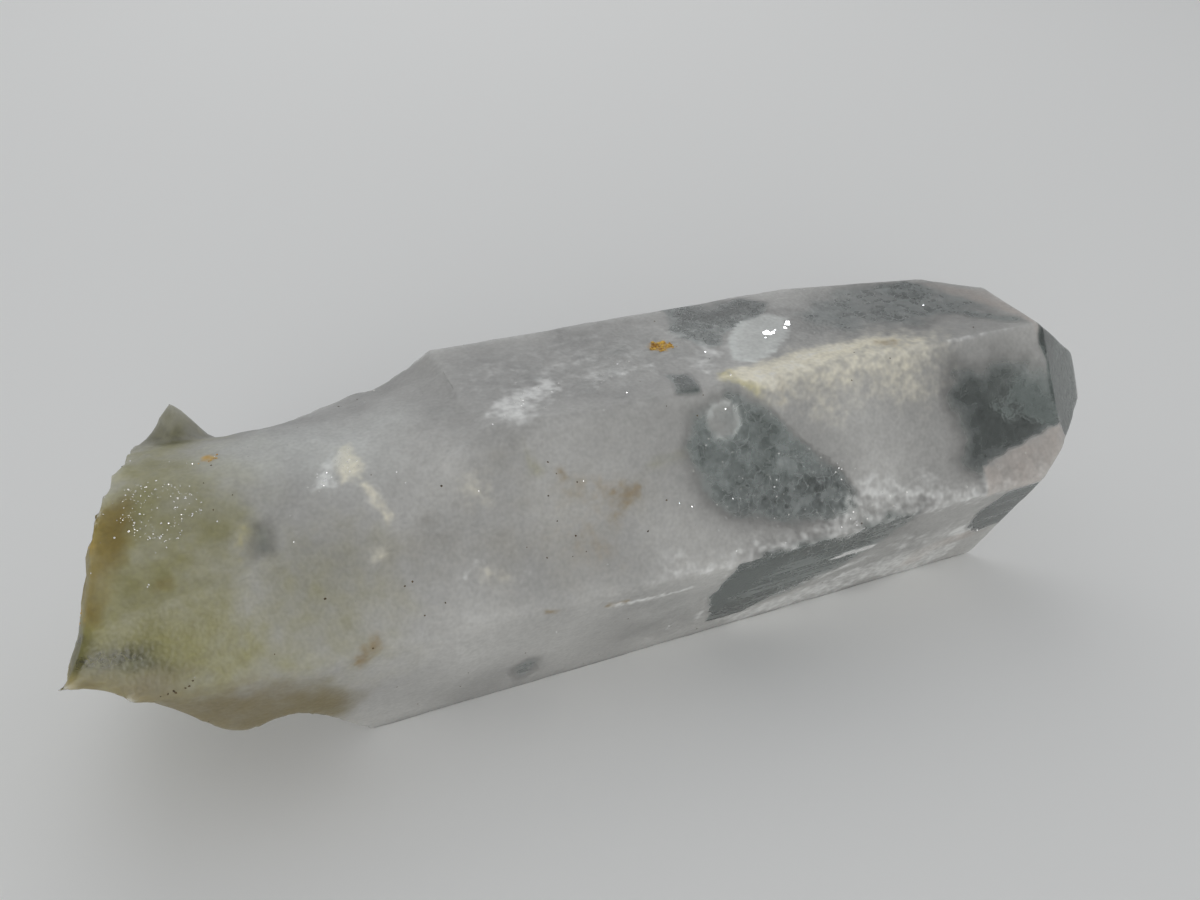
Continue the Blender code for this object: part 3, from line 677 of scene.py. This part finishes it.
def quartzMaterial(s):
    # natural milky quartz: growth faces with a satin skin, breaks a little rougher, and clear windows between
    # them. The eye sees a cloudy grey-white stone that lets light in, darker and greenish where it is clear
    material, tree, shader = newMaterial("milky_quartz")
    coords = addNode(tree, "TexCoord", output="Object")
    drawnOut = addNode(tree, "Mapping", {"Scale": s["streakStretch"], "Vector": coords})
    noises = {}
    for name, (size, detail, roughness) in s["noises"].items():
        place = drawnOut if name == "streak" else coords
        noises[name] = addNode(tree, "TexNoise", {
            "Scale": 1000 / size, "Detail": detail, "Roughness": roughness, "Vector": place})
    grain = addNode(tree, "TexNoise", {"Scale": 1000 / s["grainMm"], "Detail": 0.0, "Vector": coords})
    fields = {name: addNode(tree, "Attribute", {"attribute_name": name}, "Fac")
              for name in ("clear", "deep", "frost", "broken", "lower", *s["layers"])}
    # a window thins out softly at its border, which the mottle breaks up a little
    shifted = addNode(tree, "Math", {"operation": "MULTIPLY_ADD", 0: noises["mottle"], 1: s["borderMottle"],
                                     2: -s["borderMottle"] / 2})
    clearLevel = addNode(tree, "Math", {"operation": "ADD", 0: fields["clear"], 1: shifted})
    closed = addNode(tree, "MapRange", {**smoothStep, fromTo: s["closedRamp"], 0: clearLevel})
    closed = addNode(tree, "Math", {"operation": "MULTIPLY", 0: closed, 1: closed})
    window = addNode(tree, "Math", {"operation": "SUBTRACT", 0: 1.0, 1: closed})
    # small cracks cloud the windows: flakes, drawn out into fibres on the lower face
    flakes = addNode(tree, "Mix", {0: s["fleckShare"], 2: noises["flake"], 3: noises["fleck"]})
    pattern = addNode(tree, "Mix", {0: fields["lower"], 2: flakes, 3: noises["streak"]})
    cloudy = addNode(tree, "MapRange", {**smoothStep, fromTo: s["frostRamp"], 0: pattern})
    # healed cracks cross the windows as a net of pale veins
    bend = addNode(tree, "CombineXYZ", {0: noises["flake"], 1: noises["mottle"], 2: noises["fleck"]})
    bend = addNode(tree, "VectorMath", {"operation": "MULTIPLY_ADD", 0: bend, 1: (s["veinBendMm"] * mm,) * 3,
                                        2: coords})
    cells = addNode(tree, "TexVoronoi", {"feature": "DISTANCE_TO_EDGE", "Scale": 1000 / s["veinMm"],
                                         "Vector": bend}, "Distance")
    veins = addNode(tree, "MapRange", {**smoothStep, fromTo: s["veinRamp"], 0: cells})
    frost = addNode(tree, "Math", {"operation": "MAXIMUM", 0: cloudy, 1: veins})
    frost = addNode(tree, "Math", {"operation": "MULTIPLY", 0: frost, 1: fields["frost"]})
    # how much light each place lets through
    openShare = addNode(tree, "MapRange", {fromTo: s["openRamp"], 0: frost})
    milkShare = addNode(tree, "MapRange", {fromTo: s["milkRamp"], 0: noises["cloud"]})
    clearShare = addNode(tree, "Mix", {0: window, 2: milkShare, 3: openShare})
    # colours, one laid over the other
    drift = addNode(tree, "MapRange", {fromTo: s["driftRamp"], 0: noises["cloud"]})
    drift = addNode(tree, "Mix", {0: s["driftMottle"], 2: drift, 3: noises["mottle"]})
    milky = addNode(tree, "Mix", {**rgba, 0: drift, 6: s["milkDark"], 7: s["milkPale"]}, 2)
    # painted shade: the clear windows are tinted dark by their deep value
    glassy = addNode(tree, "Mix", {**rgba, 0: fields["deep"], 6: s["clear"], 7: s["deep"]}, 2)
    glassy = addNode(tree, "Mix", {**rgba, 0: frost, 6: glassy, 7: s["frost"]}, 2)
    tinted = addNode(tree, "MapRange", {**smoothStep, fromTo: s["tintRamp"], 0: window})
    colour = addNode(tree, "Mix", {**rgba, 0: tinted, 6: milky, 7: glassy}, 2)
    opaque = None
    for name, (hexCode, noise, patch, low, high) in s["layers"].items():
        patchy = {0: noises[noise], 1: patch, 2: -patch / 2}
        patchy = addNode(tree, "Math", {"operation": "MULTIPLY_ADD", **patchy})
        amount = addNode(tree, "Math", {"operation": "ADD", 0: fields[name], 1: patchy})
        amount = addNode(tree, "MapRange", {**smoothStep, 0: amount, 1: low, 2: high})
        limit = addNode(tree, "Math", {"operation": "MULTIPLY", "use_clamp": True, 0: fields[name],
                                       1: s["faintest"]})
        amount = addNode(tree, "Math", {"operation": "MULTIPLY", 0: amount, 1: limit})
        colour = addNode(tree, "Mix", {**rgba, 0: amount, 6: colour, 7: hexCode}, 2)
        if name not in s["stainsAndShade"]:
            larger = {"operation": "MAXIMUM", 0: amount, 1: opaque}
            opaque = addNode(tree, "Math", larger) if opaque else amount
    uneven = addNode(tree, "Mix", {0: s["grainShare"], 2: noises["fleck"], 3: grain})
    uneven = addNode(tree, "MapRange", {fromTo: s["unevenRamp"], 0: uneven})
    colour = addNode(tree, "VectorMath", {"operation": "SCALE", 0: colour, "Scale": uneven})
    # white and rusty places let less light through
    dulled = addNode(tree, "MapRange", {fromTo: s["dulledRamp"], 0: opaque})
    through = addNode(tree, "Math", {"operation": "MULTIPLY", 0: clearShare, 1: dulled})
    skin = addNode(tree, "Mix", {0: fields["broken"], 2: s["milkRoughness"], 3: s["breakRoughness"]})
    glossy = addNode(tree, "MapRange", {0: frost, 3: s["clearRoughness"], 4: s["milkRoughness"]})
    bump = addNode(tree, "Bump", {
        "Strength": s["bumpStrength"], "Distance": s["bumpMm"] * mm, "Height": grain})
    # light goes under the skin from outside only
    innerSide = addNode(tree, "NewGeometry", output="Backfacing")
    setNode(tree, shader, {
        "Base Color": colour,
        "Transmission Weight": through,
        "Roughness": addNode(tree, "Mix", {0: window, 2: skin, 3: glossy}),
        "Normal": bump,
        "IOR": s["ior"],
        "Subsurface Weight": addNode(tree, "MapRange", {0: innerSide, 3: s["subsurface"], 4: 0.0}),
        "Subsurface Radius": (1, 1, 1),
        "Subsurface Scale": s["subsurfaceMm"] * mm,
    })
    inside = addNode(tree, "VolumeAbsorption", {"Color": s["absorbColour"], "Density": s["absorbDensity"]})
    setNode(tree, tree.nodes["Material Output"], {"Volume": inside})
    return material


crystal = meshObject("quartz_crystal_surface", points, triangles, quartzMaterial(quartzLook))
for name, values in surfaceFields(points, fieldSettings).items():
    addField(crystal, name, values)
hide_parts("quartz_crystal")
print("crystal dressed")


# small things on the surface and just under it

def strengthOf(marks, *names):
    # how strong the named marks are at the crystal's corners, or all of them, with steady borders
    return markStrength(unrolled(points), 0, {name: marks[name] for name in names or marks})


def placesOn(strength, count, seed):
    # random places on the crystal's triangles, as likely as their area times their strength, with facings
    random = np.random.default_rng(seed)
    a, b, c = (points[triangles[:, i]] for i in range(3))
    facing = np.cross(b - a, c - a)
    area = np.linalg.norm(facing, axis=1)
    chance = area * strength[triangles].mean(axis=1)
    chosen = random.choice(len(triangles), count, p=chance / chance.sum())
    u, v = random.random((2, count))
    u, v = np.where(u + v > 1, 1 - u, u), np.where(u + v > 1, 1 - v, v)
    place = a[chosen] + u[:, None] * (b - a)[chosen] + v[:, None] * (c - a)[chosen]
    return place, facing[chosen] / area[chosen, None]


def placesAt(spots):
    # the surface points nearest to spots given as (mm along, degrees round), and their facings
    places = unrolled(points)
    nearest = [np.argmin(np.linalg.norm(places - spot, axis=1)) for spot in laidOut(spots)]
    return points[nearest], normals[nearest]


def joined(groups):
    # the places of several groups in one array, and their facings in another
    return [np.concatenate(part) for part in zip(*groups)]


def sizeOf(share, s):
    # from the least size to the most
    return s["leastMm"] + (s["mostMm"] - s["leastMm"]) * share


def grains(places, facings, sizes, s):
    # each grain is a double pyramid: six rim points at a random share of its size round its axis, two poles
    random = np.random.default_rng(s["seed"])
    count = len(places)
    axis = facings + s["tilt"] * random.normal(size=(count, 3))
    axis /= np.linalg.norm(axis, axis=1)[:, None]
    side = np.cross(axis, random.normal(size=(count, 3)))
    side /= np.linalg.norm(side, axis=1)[:, None]
    other = np.cross(axis, side)
    angle = np.radians(60) * (np.arange(6) + random.uniform(-0.3, 0.3, (count, 6)))
    radius = sizes[:, None] * random.uniform(0.55, 1.0, (count, 6))
    rim = (radius * np.cos(angle))[..., None] * side[:, None]
    rim += (radius * np.sin(angle))[..., None] * other[:, None]
    poles = (s["flatness"] * sizes)[:, None, None] * np.array([1, -1])[None, :, None] * axis[:, None]
    corners = places[:, None] + np.concatenate([rim, poles], axis=1)
    here = np.arange(6)
    after = (here + 1) % 6
    upper, lower = (np.full(6, pole) for pole in (6, 7))
    faces = np.concatenate([np.stack([here, after, upper], 1), np.stack([after, here, lower], 1)])
    faces = faces[None] + 8 * np.arange(count)[:, None, None]
    return np.clip(corners.reshape(-1, 3), points.min(axis=0), points.max(axis=0)), faces.reshape(-1, 3)


def grainMaterial(name, s):
    # a mineral grain: one colour that a fine noise varies, from dark to pale
    material, tree, shader = newMaterial(name)
    coords = addNode(tree, "TexCoord", output="Object")
    noise = addNode(tree, "TexNoise", {"Scale": 1000 / s["noiseMm"], "Detail": 2.0, "Vector": coords})
    share = addNode(tree, "MapRange", {0: noise, 1: 0.35, 2: 0.65})
    setNode(tree, shader, {
        "Base Color": addNode(tree, "Mix", {**rgba, 0: share, 6: s["dark"], 7: s["pale"]}, 2),
        "Roughness": s["roughness"], "IOR": s["ior"], "Metallic": s.get("metallic", 0.0)})
    return material


def grainPiece(name, stuff, places, facings, sizes, s):
    meshObject(name, *grains(places, facings, sizes, s), grainMaterial(stuff, s["look"]), smooth=False)


snowSettings = {
    "seed": 5, "count": 1500, "leastMm": 0.05, "mostMm": 0.34, "nearMm": 0.15, "farMm": 2.6, "flatness": 0.12,
    "tilt": 0.7, "thick": ("snowWindow", "backWindow", "underBackWindow"),
    "thin": ("topWindow", "lowerFar", "pointEnd"), "thinShare": 0.35,
    "look": {"dark": "#c9ccca", "pale": "#f0f1ee", "noiseMm": 0.6, "roughness": 0.35, "ior": 1.31},
}


def makeSnow(s):
    # healed cracks: tiny flat gaps inside the crystal, which scatter the light and look like snow
    snowy = strengthOf(clearMarks, *s["thick"]) + s["thinShare"] * strengthOf(clearMarks, *s["thin"])
    snowy = snowy * (1 - strengthOf(milkMarks))
    places, facings = placesOn(snowy, s["count"], s["seed"])
    random = np.random.default_rng(s["seed"])
    sizes = sizeOf(random.random(s["count"]) ** 3, s)
    depth = sizes + s["nearMm"] + (s["farMm"] - s["nearMm"]) * random.random(s["count"]) ** 1.6
    grainPiece("inner_snow", "healed_cracks", places - facings * depth[:, None], facings, sizes, s)


glitterSettings = {
    "seed": 8, "leastMm": 0.04, "mostMm": 0.11, "flatness": 0.25, "tilt": 0.25,
    "lean": (-0.45, -0.82, 0.36), "leaning": 0.55,
    "ringAt": (-36.9, 28), "ringRadiusMm": 2.0, "ringBandMm": 0.8, "looseShare": 0.15,
    "counts": {"ring": 190, "feather": 60, "flake": 40, "ridge": 50, "loose": 200, "snow": 110},
    "firstSeed": 81,
    "spots": [
        (-10.1, 37), (3.7, 41), (-14.1, 48), (-14.3, 45), (-0.4, 69), (-5.2, 79), (2.3, 73), (-5.8, 49),
        (-6.9, 11), (0.7, 13), (0.4, 9), (3.7, 12), (-30.1, 50), (-29.9, 4), (-19.4, -17), (2.3, 85),
        (3.7, 92)],
    "look": {"dark": "#f0eee6", "pale": "#ffffff", "noiseMm": 1.0, "roughness": 0.15, "ior": 1.544,
             "metallic": 0.6},
}


def makeGlitter(s):
    # tiny facets of broken quartz, many of them leaning to the front, where they catch the light: in a ring
    # on the break, on the white marks, along the front ridge, loose on the breaks and over the snow
    white, cream = colourMarks["white"], colourMarks["cream"]
    ringFar = np.linalg.norm(unrolled(points) - laidOut([s["ringAt"]]), axis=1) - s["ringRadiusMm"]
    strengths = {
        "ring": bell(ringFar, s["ringBandMm"]),
        "feather": strengthOf(white, "feather", "featherFar"),
        "flake": np.maximum(strengthOf(white, "leftFlake"), strengthOf(cream, "flakeFan")),
        "ridge": strengthOf(white, "frontRidge"),
        "loose": s["looseShare"] + broken,
        "snow": strengthOf(clearMarks, "snowWindow"),
    }
    groups = [placesOn(strengths[name], count, seed)
              for seed, (name, count) in enumerate(s["counts"].items(), s["firstSeed"])]
    places, facings = joined([*groups, placesAt(s["spots"])])
    random = np.random.default_rng(s["seed"])
    sizes = sizeOf(random.random(len(places)) ** 2, s)
    facings = np.where(random.random((len(places), 1)) < s["leaning"], s["lean"], facings)
    grainPiece("surface_glitter", "broken_quartz_facets", places, facings, sizes, s)


speckSettings = {
    "seed": 9, "leastMm": 0.06, "mostMm": 0.13, "flatness": 0.3, "tilt": 0.2, "looseCount": 70,
    "spots": [
        (-8.3, 41), (-7.8, 46), (-6.7, 49), (-17.1, 41), (-9.1, 53), (0.3, 63), (-1.6, 72), (-7.4, 67),
        (-11.5, 67), (-10, 71), (-6.8, 74), (-7.9, 74), (2.1, 34), (4.4, 37), (-27.2, 68), (-21.1, 69),
        (-21.8, 34), (-20.1, 80), (-22.6, 113), (-24.4, 85), (-39.3, 83.5), (-38.9, 83), (-38.5, 82.7),
        (-38.3, 82.9), (-37.6, 82.2), (-37.3, 81.9), (-37, 81.8), (-42, 82)],
    "look": {"dark": "#3d3225", "pale": "#6b5a3e", "noiseMm": 0.2, "roughness": 0.8, "ior": 1.5},
}


def makeSpecks(s):
    # specks of iron and manganese dirt, held in pits of the skin
    everywhere = np.ones(len(points))
    places, facings = joined([placesAt(s["spots"]), placesOn(everywhere, s["looseCount"], s["seed"])])
    sizes = sizeOf(np.random.default_rng(s["seed"]).random(len(places)), s)
    grainPiece("dark_specks", "iron_dirt", places, facings, sizes, s)


ironSettings = {
    "seed": 10, "count": 90, "leastMm": 0.08, "mostMm": 0.30, "flatness": 0.45, "tilt": 0.5,
    "look": {"dark": "#946219", "pale": "#e8c25c", "noiseMm": 0.5, "roughness": 0.7, "ior": 1.5},
}


def makeIronCrust(s):
    # limonite: an earthy yellow-brown crust of iron rust
    places, facings = placesOn(strengthOf(colourMarks["rust"]) ** 3, s["count"], s["seed"])
    sizes = sizeOf(np.random.default_rng(s["seed"]).random(s["count"]) ** 2, s)
    grainPiece("iron_crust", "limonite", places, facings, sizes, s)


mirrorSettings = {
    "seed": 12, "lean": (-0.45, -0.82, 0.36), "tilt": 0.02, "flatness": 0.05,
    "spots": [
        (15, 3.5), (15.4, 5.5), (17.3, 1), (17, 2.6), (14.4, 6), (15.9, 3), (6.8, 37), (1.6, 66), (2.4, 68),
        (-0.6, 24), (8.6, 9), (31.2, 4)],
    "sizesMm": (0.50, 0.26, 0.46, 0.24, 0.12, 0.12, 0.09, 0.09, 0.08, 0.10, 0.09, 0.08),
    "look": {"dark": "#e9f0f4", "pale": "#ffffff", "noiseMm": 1.0, "roughness": 0.12, "ior": 1.544,
             "metallic": 1.0},
}


def makeMirrors(s):
    # open cracks that reach the skin: smooth steps over a gap of air, which mirror the light
    places, _ = placesAt(s["spots"])
    facings = np.tile(s["lean"], (len(places), 1))
    grainPiece("crack_mirrors", "air_gap", places, facings, np.array(s["sizesMm"]), s)


makeSnow(snowSettings)
makeGlitter(glitterSettings)
makeSpecks(speckSettings)
makeIronCrust(ironSettings)
makeMirrors(mirrorSettings)
print("snow, glitter, specks, iron crust and crack mirrors made")


# cracks inside that mirror the light

plateSettings = {
    "plates": [
        {"at": (7.0, 42), "depthMm": 0.30, "glint": (5.8, 38), "glintMm": 0.5,
         "outline": milkMarks["roundFlake"]["outline"]},
        {"at": (16.0, -62), "depthMm": 0.8, "glint": (18.0, -56), "glintMm": 1.2,
         "outline": [(12.5, -60), (14, -52), (17.5, -50), (20, -58), (19, -68), (15.5, -73), (13, -68)]},
    ],
    "thicknessMm": 0.03, "rings": 14, "spokes": 60, "rippleMm": 0.05, "ripples": 5, "rimSteep": 8,
    "look": {"dull": "#d3d7d4", "bright": "#f6fbff", "rim": "#e4e6e3", "roughness": 0.18, "noiseMm": 0.9},
}


def crackPlate(plate, s):
    # a polar grid under the face: out from the middle to the outline, lowered by the depth and by ripples
    # (a cosine of the distance from the middle); the second layer lies a thickness lower and shares the rim.
    # Returns its points, its faces, and how near each point is to the glint and to the rim
    middle = laidOut([plate["at"]])[0]
    corners = laidOut(plate["outline"]) - middle
    angle = np.arctan2(corners[:, 1], corners[:, 0])
    order = np.argsort(angle)
    phi = np.linspace(-np.pi, np.pi, s["spokes"], endpoint=False)
    reach = np.interp(phi, angle[order], np.linalg.norm(corners, axis=1)[order], period=2 * np.pi)
    out = np.arange(s["rings"] + 1) / s["rings"]
    flat = middle + (out[:, None] * reach)[..., None] * np.stack([np.cos(phi), np.sin(phi)], 1)
    hit, facing = placesAt([plate["at"]])
    turn = flat[..., 1] / girth
    ray = np.stack([np.zeros_like(turn), -np.sin(turn), np.cos(turn)], -1)
    start = np.stack([flat[..., 0], np.zeros_like(turn), np.full_like(turn, axisHeight)], -1)
    far = ((hit[0] - start) @ facing[0]) / (ray @ facing[0])
    ripple = s["rippleMm"] * (1 + np.cos(2 * np.pi * s["ripples"] * out))[:, None]
    upper = start + far[..., None] * ray - (plate["depthMm"] + ripple)[..., None] * facing[0]
    thick = s["thicknessMm"] * np.sqrt(1 - out ** 2)[:, None, None] * facing[0]
    both = np.concatenate([upper.reshape(-1, 3), (upper - thick)[:-1].reshape(-1, 3)])
    n, m = s["spokes"], s["rings"]
    number = np.arange((m + 1) * n).reshape(m + 1, n)
    number[0] = 0  # the middle is one point
    i, j = (g.ravel() for g in np.meshgrid(np.arange(m), np.arange(n), indexing="ij"))
    k = (j + 1) % n
    wide = np.stack([number[i + 1, k], number[i + 1, j], number[i, j]], 1)
    narrow = np.stack([number[i, k], number[i + 1, k], number[i, j]], 1)[i > 0]
    top = np.concatenate([wide, narrow])
    below = np.where(top < m * n, top + (m + 1) * n, top)[:, ::-1]
    glint = bell(np.linalg.norm(flat - laidOut([plate["glint"]]), axis=-1), plate["glintMm"])
    rim = np.repeat(out[:, None] ** s["rimSteep"], n, axis=1)
    fields = [np.concatenate([v.ravel(), v[:-1].ravel()]) for v in (glint, rim)]
    used, faces = np.unique(np.concatenate([top, below]), return_inverse=True)
    return both[used], faces.reshape(-1, 3), *(field[used] for field in fields)


def crackMaterial(s):
    # an open crack: a thin gap of air that mirrors the light where it is smooth
    material, tree, shader = newMaterial("open_crack")
    glint, rim = (addNode(tree, "Attribute", {"attribute_name": name}, "Fac") for name in ("glint", "rim"))
    coords = addNode(tree, "TexCoord", output="Object")
    noise = addNode(tree, "TexNoise", {"Scale": 1000 / s["noiseMm"], "Detail": 4.0, "Vector": coords})
    sharp = addNode(tree, "Math", {"operation": "ADD", 0: glint, 1: noise})
    sharp = addNode(tree, "MapRange", {**smoothStep, 0: sharp, 1: 0.85, 2: 1.05})
    colour = addNode(tree, "Mix", {**rgba, 0: rim, 6: s["dull"], 7: s["rim"]}, 2)
    colour = addNode(tree, "Mix", {**rgba, 0: sharp, 6: colour, 7: s["bright"]}, 2)
    setNode(tree, shader, {"Base Color": colour, "Metallic": sharp, "Roughness": s["roughness"]})
    return material


corners, faces, glint, rim = zip(*(crackPlate(plate, plateSettings) for plate in plateSettings["plates"]))
starts = np.cumsum([0] + [len(part) for part in corners])
faces = np.concatenate([part + start for part, start in zip(faces, starts)])
flakes = meshObject("inner_flakes", np.concatenate(corners), faces, crackMaterial(plateSettings["look"]))
addField(flakes, "glint", np.concatenate(glint))
addField(flakes, "rim", np.concatenate(rim))
print("inner flakes made")
